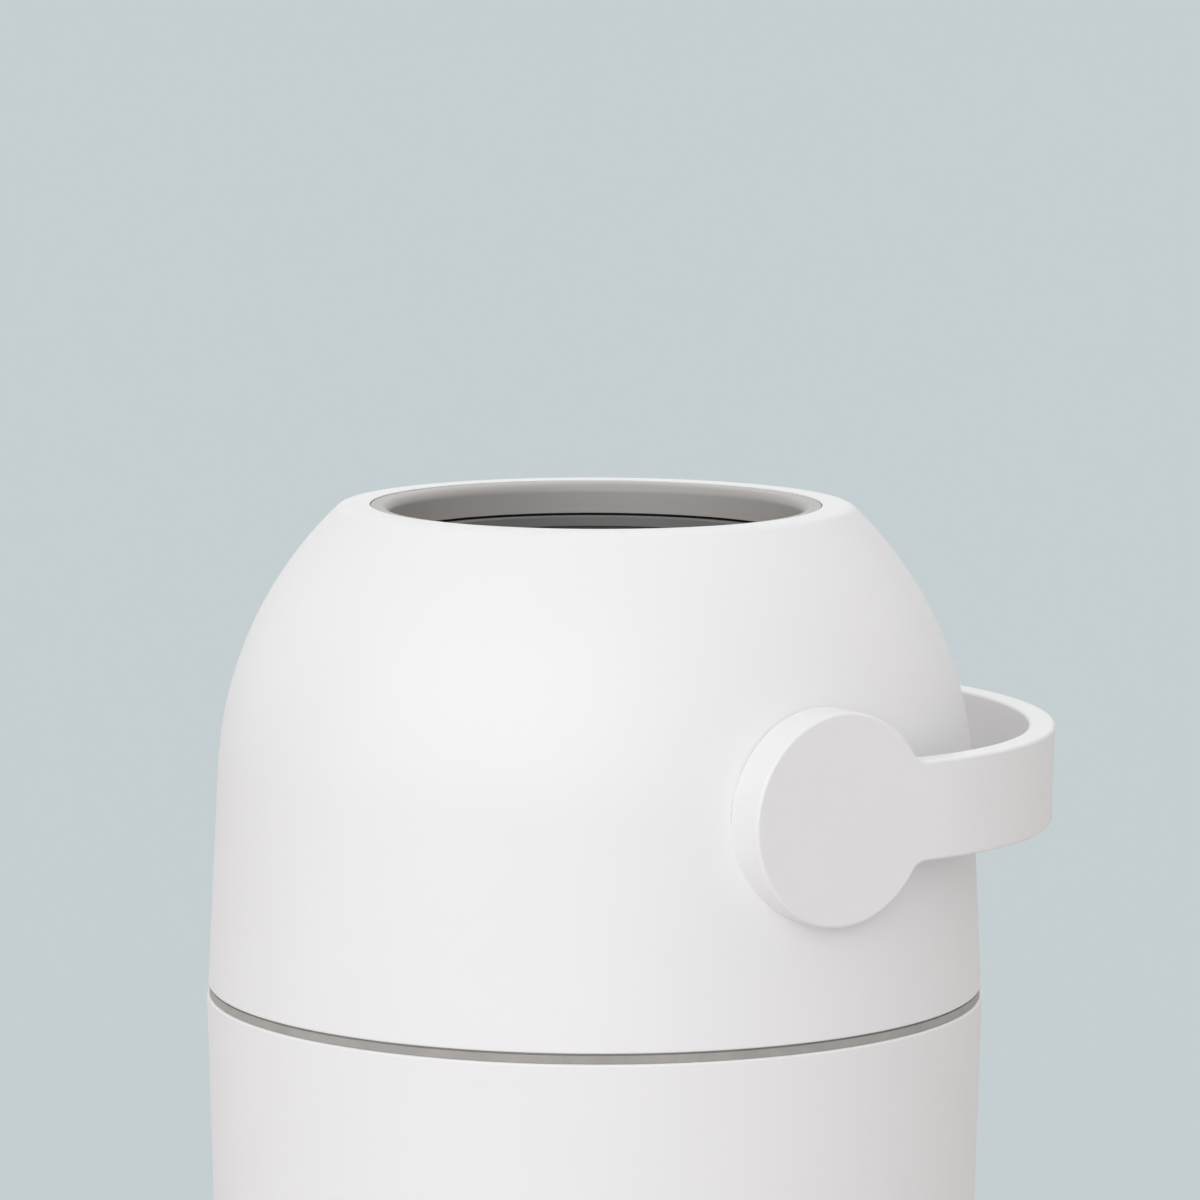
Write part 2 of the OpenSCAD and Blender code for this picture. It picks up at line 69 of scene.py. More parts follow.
# Moulded plastic: flow clouds, grain, rub marks and waves
FLOW_SIZE, FLOW_STRETCH, FLOW_GLOSS = 55 * MM, (1, 1, 1.8), 0.03
GRAIN_GLOSS, GRAIN_STRENGTH = 0.04, 0.5
RUB_SIZE, RUB_STRETCH, RUB_START, RUB_END = 3 * MM, (6, 6, 0.5), 0.62, 0.74
WAVE_SIZE, WAVE_DEPTH, WAVE_STRENGTH = 30 * MM, 0.06 * MM, 0.25
# Rubber: bloom and pits
BLOOM_SIZE, BLOOM_SPREAD, BLOOM_GLOSS, BLOOM_WARMTH = 9 * MM, 0.08, 0.05, 0.045
PIT_SIZE, PIT_DEPTH, PIT_STRENGTH, PIT_GLOSS = 0.25 * MM, 0.03 * MM, 0.5, 0.06
# Plated steel: dull and bright spots, and turning marks
DULL_ZINC, BRIGHT_ZINC = (0.5, 0.51, 0.52, 1), (0.69, 0.7, 0.72, 1)
SPOT_SIZE, DULL_ROUGHNESS, BRIGHT_ROUGHNESS = 0.7 * MM, 0.42, 0.24
MARK_SIZE, MARK_STRETCH, MARK_DEPTH, MARK_STRENGTH = 0.12 * MM, (1, 1, 4), 0.01 * MM, 0.4


def srgb(red, green, blue):
    """Linear colour from sRGB values of 0 to 255."""
    def linear(value):
        value /= 255
        return value / 12.92 if value <= 0.04045 else ((value + 0.055) / 1.055) ** 2.4
    return (linear(red), linear(green), linear(blue), 1)


def node(nodes, kind, **values):
    """A node with its properties or inputs set by name."""
    made = nodes.new(kind)
    for key, value in values.items():
        if hasattr(made, key):
            setattr(made, key, value)
        else:
            made.inputs[key.replace("_", " ")].default_value = value
    return made


class Finish:
    """A material that is built up in layers over its principled shader."""

    def __init__(self, name, **sockets):
        self.material = bpy.data.materials.new(name)
        self.material.use_nodes = True
        self.nodes = self.material.node_tree.nodes
        self.links = self.material.node_tree.links
        self.shader = self.nodes["Principled BSDF"]
        self.place = self.nodes.new("ShaderNodeTexCoord").outputs["Object"]
        for key, value in sockets.items():
            self.shader.inputs[key.replace("_", " ")].default_value = value

    def noise(self, size, detail, stretch=(1, 1, 1)):
        """Noise with features of a size in metres, drawn out along each axis by its stretch."""
        scale = [1 / (size * along) for along in stretch]
        spread = node(self.nodes, "ShaderNodeMapping", Scale=scale)
        made = node(self.nodes, "ShaderNodeTexNoise", Scale=1.0, Detail=detail,
                    Roughness=NOISE_ROUGHNESS)
        self.links.new(self.place, spread.inputs["Vector"])
        self.links.new(spread.outputs["Vector"], made.inputs["Vector"])
        return made.outputs["Fac"]

    def mapped(self, value, low, high, start=0.3, end=0.7):
        """A value brought from its start and end to a low and a high, and held there."""
        made = node(self.nodes, "ShaderNodeMapRange",
                    From_Min=start, From_Max=end, To_Min=low, To_Max=high)
        self.links.new(value, made.inputs["Value"])
        return made.outputs["Result"]

    def math(self, operation, one, other):
        """The outcome of a sum on two values."""
        made = node(self.nodes, "ShaderNodeMath", operation=operation)
        self.links.new(one, made.inputs[0])
        self.links.new(other, made.inputs[1])
        return made.outputs["Value"]

    def colour(self, dark, light, factor):
        """A base colour that goes from dark to light by a factor."""
        made = node(self.nodes, "ShaderNodeMix", data_type="RGBA")
        made.inputs["A"].default_value = dark
        made.inputs["B"].default_value = light
        self.links.new(factor, made.inputs["Factor"])
        self.links.new(made.outputs["Result"], self.shader.inputs["Base Color"])

    def rough(self, value):
        """A roughness that wanders over the surface."""
        self.links.new(value, self.shader.inputs["Roughness"])

    def bump(self, height, depth, strength, under=None):
        """A relief of a depth in metres, laid over another one if that is given."""
        made = node(self.nodes, "ShaderNodeBump", Strength=strength, Distance=depth)
        self.links.new(height, made.inputs["Height"])
        if under:
            self.links.new(under, made.inputs["Normal"])
        self.links.new(made.outputs["Normal"], self.shader.inputs["Normal"])
        return made.outputs["Normal"]


def shades(level, spread, warmth=0.0):
    """Two near greys about a level, with the red raised and the blue lowered by a warmth."""
    return [(grey * (1 + warmth), grey, grey * (1 - warmth), 1)
            for grey in (level - spread, level + spread)]


def moulded(name, level, spread, roughness, grain, depth, warmth=0.0, scuffs=0.0, **sockets):
    """Moulded plastic: fine grain, slow flow clouds, wandering gloss and faint rub marks."""
    made = Finish(name, **sockets)
    flow = made.noise(FLOW_SIZE, detail=3.0, stretch=FLOW_STRETCH)
    made.colour(*shades(level, spread, warmth), made.mapped(flow, 0.0, 1.0))
    fine = made.noise(grain, detail=2.0)
    gloss = made.math("ADD", made.mapped(fine, -GRAIN_GLOSS, GRAIN_GLOSS),
                      made.mapped(flow, roughness - FLOW_GLOSS, roughness + FLOW_GLOSS))
    marks = made.noise(RUB_SIZE, detail=4.0, stretch=RUB_STRETCH)
    rubs = made.mapped(marks, 0.0, scuffs, RUB_START, RUB_END)
    made.rough(made.math("SUBTRACT", gloss, rubs))
    waves = made.bump(made.noise(WAVE_SIZE, detail=1.0), WAVE_DEPTH, WAVE_STRENGTH)
    made.bump(fine, depth, GRAIN_STRENGTH, waves)
    return made.material


def elastomer(name, level, roughness):
    """Soft rubber: a dull open surface with a grey bloom in patches and small pits."""
    made = Finish(name, Specular_IOR_Level=0.35, Sheen_Weight=0.12, Sheen_Roughness=0.5)
    bloom = made.noise(BLOOM_SIZE, detail=4.0)
    made.colour(*shades(level, level * BLOOM_SPREAD, BLOOM_WARMTH), made.mapped(bloom, 0.0, 1.0))
    fine = made.noise(PIT_SIZE, detail=2.0)
    made.rough(made.math("ADD", made.mapped(bloom, -BLOOM_GLOSS, BLOOM_GLOSS),
                         made.mapped(fine, roughness - PIT_GLOSS, roughness + PIT_GLOSS)))
    made.bump(fine, PIT_DEPTH, PIT_STRENGTH)
    return made.material


def plated(name):
    """Zinc-plated steel: bright, slightly bluish, with turning marks and dull spots."""
    made = Finish(name, Metallic=1.0)
    spots = made.noise(SPOT_SIZE, detail=4.0)
    made.colour(DULL_ZINC, BRIGHT_ZINC, made.mapped(spots, 0.0, 1.0))
    made.rough(made.mapped(spots, DULL_ROUGHNESS, BRIGHT_ROUGHNESS))
    marks = made.noise(MARK_SIZE, detail=2.0, stretch=MARK_STRETCH)
    made.bump(marks, MARK_DEPTH, MARK_STRENGTH)
    return made.material


# One finish for each slot. A moulded one gives its grey level and the spread about it, its
# roughness, and the size and depth of its grain. Rubber gives its level and roughness.
MATERIALS = {
    "white_plastic": moulded(
        "white_polypropylene", 0.87, 0.006, 0.48, 0.45 * MM, 0.02 * MM, scuffs=0.05),
    "handle_plastic": moulded(
        "satin_white_plastic", 0.87, 0.005, 0.4, 0.35 * MM, 0.012 * MM, scuffs=0.08),
    "collar_plastic": moulded(
        "grey_collar_plastic", 0.38, 0.01, 0.42, 0.4 * MM, 0.02 * MM, warmth=0.05, scuffs=0.08),
    "drum_plastic": moulded(
        "dark_drum_plastic", 0.2, 0.01, 0.4, 0.5 * MM, 0.02 * MM, warmth=0.01, scuffs=0.12),
    "grey_plastic": moulded(
        "mid_grey_plastic", 0.42, 0.012, 0.45, 0.5 * MM, 0.02 * MM, scuffs=0.1),
    "bush_plastic": moulded(
        "natural_acetal", 0.74, 0.01, 0.3, 0.8 * MM, 0.008 * MM, warmth=0.015,
        Subsurface_Weight=0.05),
    "gasket_rubber": elastomer("grey_elastomer", 0.37, 0.7),
    "dark_rubber": elastomer("dark_elastomer", 0.05, 0.62),
    "steel": plated("zinc_plated_steel"),
}

# ---------------------------------------------------------------------------------------------
# Ways of making a mesh
# ---------------------------------------------------------------------------------------------
MERGE_DISTANCE = 0.002 * MM
SHARP_ANGLE = math.radians(38)
FACE_WEIGHT = 60
FILLET_STEPS = 5
RING_STEPS = 192


def circle_angles(steps, shift=0.0):
    """Angles that go round once in even steps, turned on by a share of a step."""
    return [2 * math.pi * (i + shift) / steps for i in range(steps)]


def object_from(builder, name):
    """An object from a bmesh, with its doubles merged and its faces turned outwards."""
    bmesh.ops.remove_doubles(builder, verts=builder.verts, dist=MERGE_DISTANCE)
    bmesh.ops.recalc_face_normals(builder, faces=builder.faces)
    mesh = bpy.data.meshes.new(name)
    builder.to_mesh(mesh)
    builder.free()
    made = bpy.data.objects.new(name, mesh)
    bpy.context.scene.collection.objects.link(made)
    return made


def settled(made):
    """The object with its modifiers turned into plain mesh."""
    graph = bpy.context.evaluated_depsgraph_get()
    mesh = bpy.data.meshes.new_from_object(made.evaluated_get(graph))
    made.modifiers.clear()
    made.data = mesh
    return made


def smooth(made):
    """Smooth shading in which sharp edges stay sharp and large faces keep their direction."""
    made.data.shade_smooth()
    made.data.set_sharp_from_angle(angle=SHARP_ANGLE)
    weigh = made.modifiers.new("weigh", "WEIGHTED_NORMAL")
    weigh.mode = "FACE_AREA"
    weigh.weight = FACE_WEIGHT
    weigh.keep_sharp = True
    return settled(made)


def cut(made, tool, operation="DIFFERENCE"):
    """Cuts a tool out of an object, or joins it on, and removes the tool."""
    step = made.modifiers.new("cut", "BOOLEAN")
    step.operation = operation
    step.solver = "EXACT"
    step.object = tool
    settled(made)
    bpy.data.objects.remove(tool)


def dress(made, *nodes):
    """Puts a finished piece in its CAD nodes' place: it rides on their body in their finish."""
    made.data.materials.clear()
    made.data.materials.append(MATERIALS[slot_of[nodes[0]]])
    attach(made, body_of[nodes[0]])
    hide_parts(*nodes)


def strips(builder, one, other):
    """Joins two closed loops of points with a strip of faces."""
    for i in range(len(one)):
        j = (i + 1) % len(one)
        builder.faces.new((one[i], one[j], other[j], other[i]))


def filleted(section):
    """A closed section with its corners rounded, from each corner's radius, height and fillet
    in mm."""
    points = []
    corners = zip(section[-1:] + section[:-1], section, section[1:] + section[:1])
    for before, (radius, height, fillet), after in corners:
        corner = Vector((radius, height))
        back = (Vector(before[:2]) - corner).normalized()
        ahead = (Vector(after[:2]) - corner).normalized()
        half = back.angle(ahead) / 2
        centre = corner + (back + ahead).normalized() * fillet / math.sin(half)
        first = corner + back * fillet / math.tan(half) - centre
        last = corner + ahead * fillet / math.tan(half) - centre
        for i in range(FILLET_STEPS + 1):
            arm = first.slerp(last, i / FILLET_STEPS).normalized() * fillet
            points.append((centre + arm) * MM)
    return points


def turned(name, section, base):
    """A piece turned about the bin's axis from its section, which stands on a base height."""
    outline = filleted(section)
    builder = bmesh.new()
    rings = [[builder.verts.new((radius * math.cos(a), radius * math.sin(a), base + height))
              for radius, height in outline] for a in circle_angles(RING_STEPS)]
    for ring, following in zip(rings, rings[1:] + rings[:1]):
        strips(builder, ring, following)
    return object_from(builder, name)


def prism(outline, start, end, place=Matrix.Identity(4)):
    """A tool for a cut: an outline in X and Z, drawn along Y between two places."""
    builder = bmesh.new()
    near = [builder.verts.new(place @ Vector((x, start, z))) for x, z in outline]
    far = [builder.verts.new(place @ Vector((x, end, z))) for x, z in outline]
    builder.faces.new(near)
    builder.faces.new(far[::-1])
    strips(builder, near, far)
    return object_from(builder, "tool")


# ---------------------------------------------------------------------------------------------
# Handle: an outline of run and height, given its thickness and then bent to its plan
# ---------------------------------------------------------------------------------------------
HUB_R = 33.4 * MM
HUB_T = 13 * MM
BAND_H = 31.4 * MM
BAND_T = 8.4 * MM
NECK_R = 6 * MM
# Rounding of the edges in view, and of the hub's inner edge in its recess
EDGE_R = 1.1 * MM
RECESS_EDGE_R = 0.26 * MM
# In plan the band runs straight beside the hub, then over a bend into the grip's wider one
BAND_RUN = 34.6 * MM
BEND_R = 106 * MM
GRIP_R = 139.7 * MM
BEND_SWEEP = math.acos((HUB_Y - BEND_R) / (GRIP_R - BEND_R))
GRIP_X = BAND_RUN - (GRIP_R - BEND_R) * math.sin(BEND_SWEEP)
BEND_RUN = BAND_RUN + BEND_R * BEND_SWEEP
HALF_RUN = BEND_RUN + GRIP_R * (math.pi / 2 - BEND_SWEEP)
# The outer face leans in below, and the hub's flank spreads towards its recess
BAND_LEAN = 0.6 * MM
HUB_FOOT = 0.26 * MM
HUB_FOOT_DOWN = 6 * MM
# Runs over which the hub thins into the band and over which its foot fades out
THIN_START, THIN_RUN = 0.96 * HUB_R, 3.6 * MM
FOOT_END, FOOT_RUN = 0.83 * HUB_R, 0.2 * HUB_R
HUB_STEPS, NECK_STEPS, BAND_STEPS = 96, 12, 96
EDGE_STEPS, FLANK_STEPS = 9, 6
# Socket for the shaft, the pin in it with its screw hole, and the lug that stops the turn
SOCKET_R = 9.05 * MM
SOCKET_FLAT = 7.55 * MM
SOCKET_Y = (116.2 * MM, 125.2 * MM)
SOCKET_STEPS = 96
PIN_R = 5.5 * MM
PIN_Y = (97 * MM, 126.2 * MM)
SCREW_HOLE_R = 1.52 * MM
SCREW_HOLE_Y = (96 * MM, 118 * MM)
SCREW_HOLE_STEPS = 32
LUG_R = (26.4 * MM, 30.1 * MM)
LUG_Y = (114.4 * MM, 117.6 * MM)
LUG_HALF = math.radians(6)
LUG_STEPS = 9


def eased(value, start, run):
    """Goes smoothly from 0 at a start to 1 at the end of a run from it."""
    t = min(max((value - start) / run, 0), 1)
    return t * t * (3 - 2 * t)


def handle_stations():
    """Upper edge of the outline, from the hub's far side to the middle of the grip: run,
    height and outward direction."""
    rise = BAND_H / 2 + NECK_R
    neck_x = math.sqrt((HUB_R + NECK_R) ** 2 - rise ** 2)
    meet = math.atan2(rise, neck_x)
    hub = [(HUB_R * math.cos(a), HUB_R * math.sin(a), math.cos(a), math.sin(a))
           for a in np.linspace(math.pi, meet, HUB_STEPS)]
    neck = [(neck_x + NECK_R * math.cos(a), rise + NECK_R * math.sin(a),
             -math.cos(a), -math.sin(a))
            for a in np.linspace(meet - math.pi, -math.pi / 2, NECK_STEPS)[1:]]
    band = [(run, BAND_H / 2, 0, 1) for run in np.linspace(neck_x, HALF_RUN, BAND_STEPS)[1:]]
    return hub + neck + band


def plan(run):
    """Place and outward direction of the band's outer face on the front side, from above."""
    if run <= BAND_RUN:
        return (run, -HUB_Y), (0, -1)
    if run <= BEND_RUN:
        a = (run - BAND_RUN) / BEND_R
        out = (math.sin(a), -math.cos(a))
        return (BAND_RUN + BEND_R * out[0], BEND_R - HUB_Y + BEND_R * out[1]), out
    a = BEND_SWEEP - math.pi / 2 + (run - BEND_RUN) / GRIP_R
    out = (math.cos(a), math.sin(a))
    return (GRIP_X + GRIP_R * out[0], GRIP_R * out[1]), out


def handle_thickness(run):
    """The hub is thicker than the band and eases into it."""
    return HUB_T + (BAND_T - HUB_T) * eased(run, THIN_START, THIN_RUN)


def band_lean(run):
    """How far the outer face leans in towards its lower edge, which grows over the bend."""
    return BAND_LEAN * eased(run, BAND_RUN, BEND_RUN - BAND_RUN)


def hub_spread(run):
    """The hub's flank spreads a little towards its recess, up to where the band leaves it."""
    return HUB_FOOT * eased(run, FOOT_END, -FOOT_RUN)


def edge_profile(thickness, back_r, spread):
    """Inset and depth across one rounded edge, from the outer face over to the inner face."""
    quarter = np.linspace(0, math.pi / 2, EDGE_STEPS)
    front = [(EDGE_R * (1 - math.cos(a)), EDGE_R * (1 - math.sin(a))) for a in quarter[::-1]]
    down = min(HUB_FOOT_DOWN, thickness - 2 * EDGE_R) - EDGE_R
    flank = [(-spread * eased(t, 0, 1), EDGE_R + down * t)
             for t in np.linspace(0, 1, FLANK_STEPS)[1:]]
    back = [(back_r * (1 - math.cos(a)) - spread, thickness - back_r * (1 - math.sin(a)))
            for a in quarter]
    return front + flank + back


def make_handle():
    """The whole handle: a closed section at each station, front half first."""
    half = handle_stations()
    stations = [(place, 1) for place in half] + [(place, -1) for place in reversed(half[:-1])]
    builder = bmesh.new()
    loops = []
    for (run, height, slope, rise), side in stations:
        thickness = handle_thickness(run)
        edge = edge_profile(thickness, EDGE_R if run > HUB_R else RECESS_EDGE_R, hub_spread(run))
        section = []
        for up, profile, lean in ((1, edge, 0), (-1, edge[::-1], band_lean(run))):
            for inset, depth in profile:
                depth += lean * (1 - depth / thickness)
                (x, y), out = plan(run - inset * slope)
                z = PIVOT_Z + up * (height - inset * rise)
                section.append(
                    builder.verts.new((x - depth * out[0], side * (y - depth * out[1]), z)))
        loops.append(section)
    for one, other in zip(loops, loops[1:]):
        strips(builder, one, other)
    return object_from(builder, "lift_handle")


def round_outline(radius, steps, flat=math.inf):
    """A circle about the drum's axis, which may be cut off level at a flat above and below."""
    return [(radius * math.cos(a), PIVOT_Z + max(-flat, min(flat, radius * math.sin(a))))
            for a in circle_angles(steps)]


def lug_outline():
    """The lug's section, a short stretch of a ring about the drum's axis."""
    angles = np.linspace(-LUG_HALF, LUG_HALF, LUG_STEPS)
    inner, outer = [[(r * math.cos(a), PIVOT_Z + r * math.sin(a)) for a in angles]
                    for r in LUG_R]
    return inner + outer[::-1]


def hub_tool(side, outline, reach):
    """A tool for one hub, between two distances from the bin's middle."""
    return prism(outline, side * reach[0], side * reach[1])


def finish_hubs(handle):
    """The inner side of each hub: the socket, the bored pin in it and the lug."""
    for side in (-1, 1):
        cut(handle, hub_tool(side, round_outline(SOCKET_R, SOCKET_STEPS, SOCKET_FLAT), SOCKET_Y))
        pin = hub_tool(side, round_outline(PIN_R, SOCKET_STEPS), PIN_Y)
        cut(pin, hub_tool(side, round_outline(SCREW_HOLE_R, SCREW_HOLE_STEPS), SCREW_HOLE_Y))
        cut(handle, pin, "UNION")
        cut(handle, hub_tool(side, lug_outline(), LUG_Y), "UNION")
    return handle


dress(smooth(finish_hubs(make_handle())), "handle")

# ---------------------------------------------------------------------------------------------
# Turned pieces, from the radius, height and fillet of each corner in mm
# ---------------------------------------------------------------------------------------------
# These stand on the dome's lower edge
COLLAR = [(66.5, 144.6, 0.3), (70.8, 144.6, 0.4), (70.8, 145.9, 0.3), (69.5, 145.9, 0.2),
          (69.5, 151.5, 0.2), (72.4, 151.5, 0.2), (72.4, 154.8, 0.35), (66.5, 154.3, 3.0)]
WIPER = [(69.6, 146.0, 0.2), (74.0, 146.0, 0.6), (72.4, 138.41, 0.25), (74.0, 138.61, 0.3),
         (76.0, 146.0, 0.6), (76.0, 148.4, 0.3), (69.6, 148.4, 0.3)]
GASKET = [(119.9, 0, 0.3), (123.6, 0, 0.1), (123.6, -0.6, 0.1), (124.6, -0.6, 0.2),
          (124.6, -3.2, 0.3), (122.5, -3.2, 0.2), (122.2, -7.2, 0.5), (119.9, -7.2, 0.4)]
# The floor's wiper is the mouth's, turned over about the drum's axis
TWICE_PIVOT_H = 2 * (PIVOT_Z - HEAD_Z) / MM
LOW_WIPER = [(radius, TWICE_PIVOT_H - height, fillet) for radius, height, fillet in WIPER]
# This one stands on the floor
FOOT = [(97, 0, 0.5), (101, 0, 0.6), (102, 1, 0.6), (102, 5, 0.4), (96, 5, 0.4), (96, 1, 0.5)]
# The bag ring lies on the bucket's ledge and its skirt hangs below, with a notch on each side
BAG_SKIRT = 14
BAG_OUT = bag_high.y / MM
BAG = [(103, -BAG_SKIRT, 0.6), (105.5, -BAG_SKIRT, 0.6), (105.5, 0, 0.8), (BAG_OUT, 0, 0.5),
       (BAG_OUT, 5, 1.0), (BAG_OUT - 2.5, 5, 1.0), (BAG_OUT - 2.5, 2.5, 0.6), (103, 2.5, 1.0)]
BAG_LEDGE_Z = bag_low.z + BAG_SKIRT * MM
FINGER_R = 14 * MM
FINGER_X = 103 * MM
FINGER_REACH = (-3 * MM, 9 * MM)
FINGER_STEPS = 64


def make_bag_ring():
    """The ring with a round finger notch in its inner edge on each side."""
    ring = turned("bag_grip_ring", BAG, BAG_LEDGE_Z)
    lay = Matrix.Rotation(math.pi / 2, 4, "X")
    outline = [(FINGER_R * math.cos(a), -FINGER_R * math.sin(a))
               for a in circle_angles(FINGER_STEPS, 0.5)]
    for side in (-1, 1):
        place = Matrix.Translation((side * FINGER_X, 0, BAG_LEDGE_Z)) @ lay
        cut(ring, prism(outline, *FINGER_REACH, place))
    return ring


dress(smooth(turned("mouth_collar_ring", COLLAR, HEAD_Z)), "mouth_collar")
dress(smooth(turned("mouth_wiper", WIPER, HEAD_Z)), "upper_wiper")
dress(smooth(turned("floor_wiper", LOW_WIPER, HEAD_Z)), "lower_wiper")
dress(smooth(turned("joint_gasket", GASKET, HEAD_Z)), "seal_gasket")
dress(smooth(turned("foot_grip_ring", FOOT, 0)), "foot_ring")
dress(smooth(make_bag_ring()), "bag_ring")

# ---------------------------------------------------------------------------------------------
# Screws: a pan-head screw of each length, set in its places by a tree
# ---------------------------------------------------------------------------------------------
SCREW_STEPS = 28
# Radius and height of the head's rings in mm, from its top, which is down, to its seat
HEAD_H = 2.4
HEAD_RINGS = [(0, -HEAD_H), (1.9, -HEAD_H), (2.7, -2.2), (3.3, -1.7), (3.6, -1.1),
              (3.6, -0.15), (3.45, 0), (1.5, 0)]
SHANK_R = 1.5 * MM
SHANK_START = 0.6 * MM
POINT_RUN = 2.5 * MM
PITCH = 1.2 * MM
PITCH_STEPS = 6
THREAD_DEEP = 0.28 * MM
THREAD_SLOPE = 2.4
CROSS_HALF = 0.5 * MM
CROSS_REACH = 2.1 * MM
CROSS_DEEP = 1.3 * MM
CROSS_TAPER = 0.7
CROSS_OPEN = -3 * MM
SHORT_SCREW, LONG_SCREW = 14 * MM, 26 * MM


def make_screw(length):
    """A screw along Z: a domed head below the origin with a cross recess, and a threaded,
    pointed shank above."""
    builder = bmesh.new()
    angles = circle_angles(SCREW_STEPS)
    rings = [[builder.verts.new((r * MM * math.cos(a), r * MM * math.sin(a), z * MM))
              for a in angles] for r, z in HEAD_RINGS]
    for z in np.arange(SHANK_START, length, PITCH / PITCH_STEPS):
        taper = min(1, (length - z) / POINT_RUN)
        ring = []
        for i, a in enumerate(angles):
            phase = (z / PITCH - i / SCREW_STEPS) % 1
            groove = THREAD_DEEP * min(1, THREAD_SLOPE * abs(phase - 0.5))
            r = (SHANK_R - groove) * taper
            ring.append(builder.verts.new((r * math.cos(a), r * math.sin(a), z)))
        rings.append(ring)
    rings.append([builder.verts.new((0, 0, length)) for _ in angles])
    for one, other in zip(rings, rings[1:]):
        strips(builder, one, other)
    screw = object_from(builder, "screw")
    floor_z = -HEAD_H * MM + CROSS_DEEP
    for reach, half in ((CROSS_REACH, CROSS_HALF), (CROSS_HALF, CROSS_REACH)):
        narrow = CROSS_TAPER * reach
        outline = [(-reach, CROSS_OPEN), (reach, CROSS_OPEN), (narrow, floor_z),
                   (-narrow, floor_z)]
        cut(screw, prism(outline, -half, half))
    return smooth(screw)


def screw_tree():
    """Sets a screw in every point given, along the point's direction and turned by its own
    angle."""
    tree = bpy.data.node_groups.new("set_screws", "GeometryNodeTree")
    for name, kind in (("Places", "Geometry"), ("Screw", "Object"), ("Finish", "Material")):
        tree.interface.new_socket(name, in_out="INPUT", socket_type="NodeSocket" + kind)
    tree.interface.new_socket("Screws", in_out="OUTPUT", socket_type="NodeSocketGeometry")
    nodes, links = tree.nodes, tree.links
    given = nodes.new("NodeGroupInput")
    facing = node(nodes, "GeometryNodeInputNamedAttribute", data_type="FLOAT_VECTOR",
                  Name="facing")
    turn_by = node(nodes, "GeometryNodeInputNamedAttribute", data_type="FLOAT", Name="turn")
    aim = node(nodes, "FunctionNodeAlignEulerToVector", axis="Z")
    spin = nodes.new("ShaderNodeCombineXYZ")
    turned_aim = node(nodes, "FunctionNodeRotateEuler", space="LOCAL")
    info = nodes.new("GeometryNodeObjectInfo")
    place = nodes.new("GeometryNodeInstanceOnPoints")
    real = nodes.new("GeometryNodeRealizeInstances")
    finish = nodes.new("GeometryNodeSetMaterial")
    out = nodes.new("NodeGroupOutput")
    links.new(facing.outputs["Attribute"], aim.inputs["Vector"])
    links.new(turn_by.outputs["Attribute"], spin.inputs["Z"])
    links.new(aim.outputs[0], turned_aim.inputs["Rotation"])
    links.new(spin.outputs[0], turned_aim.inputs["Rotate By"])
    links.new(given.outputs["Screw"], info.inputs["Object"])
    links.new(given.outputs["Places"], place.inputs["Points"])
    links.new(info.outputs["Geometry"], place.inputs["Instance"])
    links.new(turned_aim.outputs[0], place.inputs["Rotation"])
    links.new(place.outputs["Instances"], real.inputs["Geometry"])
    links.new(real.outputs["Geometry"], finish.inputs["Geometry"])
    links.new(given.outputs["Finish"], finish.inputs["Material"])
    links.new(finish.outputs["Geometry"], out.inputs["Screws"])
    return tree


def set_screws(tree, name, screw, places, *replaced):
    """One mesh of screws, from places that each hold a point and the shank's direction."""
    rng = np.random.default_rng(len(places))
    mesh = bpy.data.meshes.new(name)
    mesh.from_pydata([point for point, _ in places], [], [])
    facing = mesh.attributes.new("facing", "FLOAT_VECTOR", "POINT")
    facing.data.foreach_set("vector", np.ravel([way for _, way in places]))
    turns = mesh.attributes.new("turn", "FLOAT", "POINT")
    turns.data.foreach_set("value", rng.uniform(0, 2 * math.pi, len(places)))
    made = bpy.data.objects.new(name, mesh)
    bpy.context.scene.collection.objects.link(made)
    step = made.modifiers.new("set", "NODES")
    step.node_group = tree
    inputs = {item.name: item.identifier for item in tree.interface.items_tree
              if item.in_out == "INPUT"}
    step[inputs["Screw"]] = screw
    step[inputs["Finish"]] = MATERIALS["steel"]
    dress(settled(made), *replaced)


# Places of the floor's, the shells' and the hubs' screws, each with the way its shank points
FLOOR_SCREW_RING = 110 * MM
FLOOR_SCREWS = 6
SHELL_SCREW_X, SHELL_SCREW_Y, SHELL_SCREW_DOWN = 36 * MM, 78 * MM, 14 * MM
HUB_SCREW_Y = 88.1 * MM
UP = (0, 0, 1)
floor_places = [((FLOOR_SCREW_RING * math.cos(a), FLOOR_SCREW_RING * math.sin(a), HEAD_Z), UP)
                for a in circle_angles(FLOOR_SCREWS, 0.5)]
shell_places = [((x * SHELL_SCREW_X, y * SHELL_SCREW_Y, PIVOT_Z - SHELL_SCREW_DOWN), UP)
                for x in (-1, 1) for y in (-1, 1)]
hub_places = [((0, side * HUB_SCREW_Y, PIVOT_Z), (0, side, 0)) for side in (-1, 1)]

tree = screw_tree()
short, long = make_screw(SHORT_SCREW), make_screw(LONG_SCREW)
set_screws(tree, "floor_screw_set", short, floor_places, "floor_screws")
set_screws(tree, "shell_screw_set", long, shell_places, "drum_screws")
set_screws(tree, "hub_screw_set", long, hub_places, "hub_screws")
for screw in (short, long):
    bpy.data.objects.remove(screw)

# The CAD nodes get their finishes too
for name, piece in frame["nodes"].items():
    piece.data.materials.clear()
    piece.data.materials.append(MATERIALS[slot_of[name]])

# ---------------------------------------------------------------------------------------------
# Stage, lights and camera
# ---------------------------------------------------------------------------------------------
BACKGROUND = srgb(197, 207, 209)
FLOOR_HALF = 60
# How much light the open floor gets, and the colour in which it lights the bin
FLOOR_LIGHT = (0.862, 0.847, 0.844)
FLOOR_BOUNCE = (0.73, 0.708, 0.71, 1)
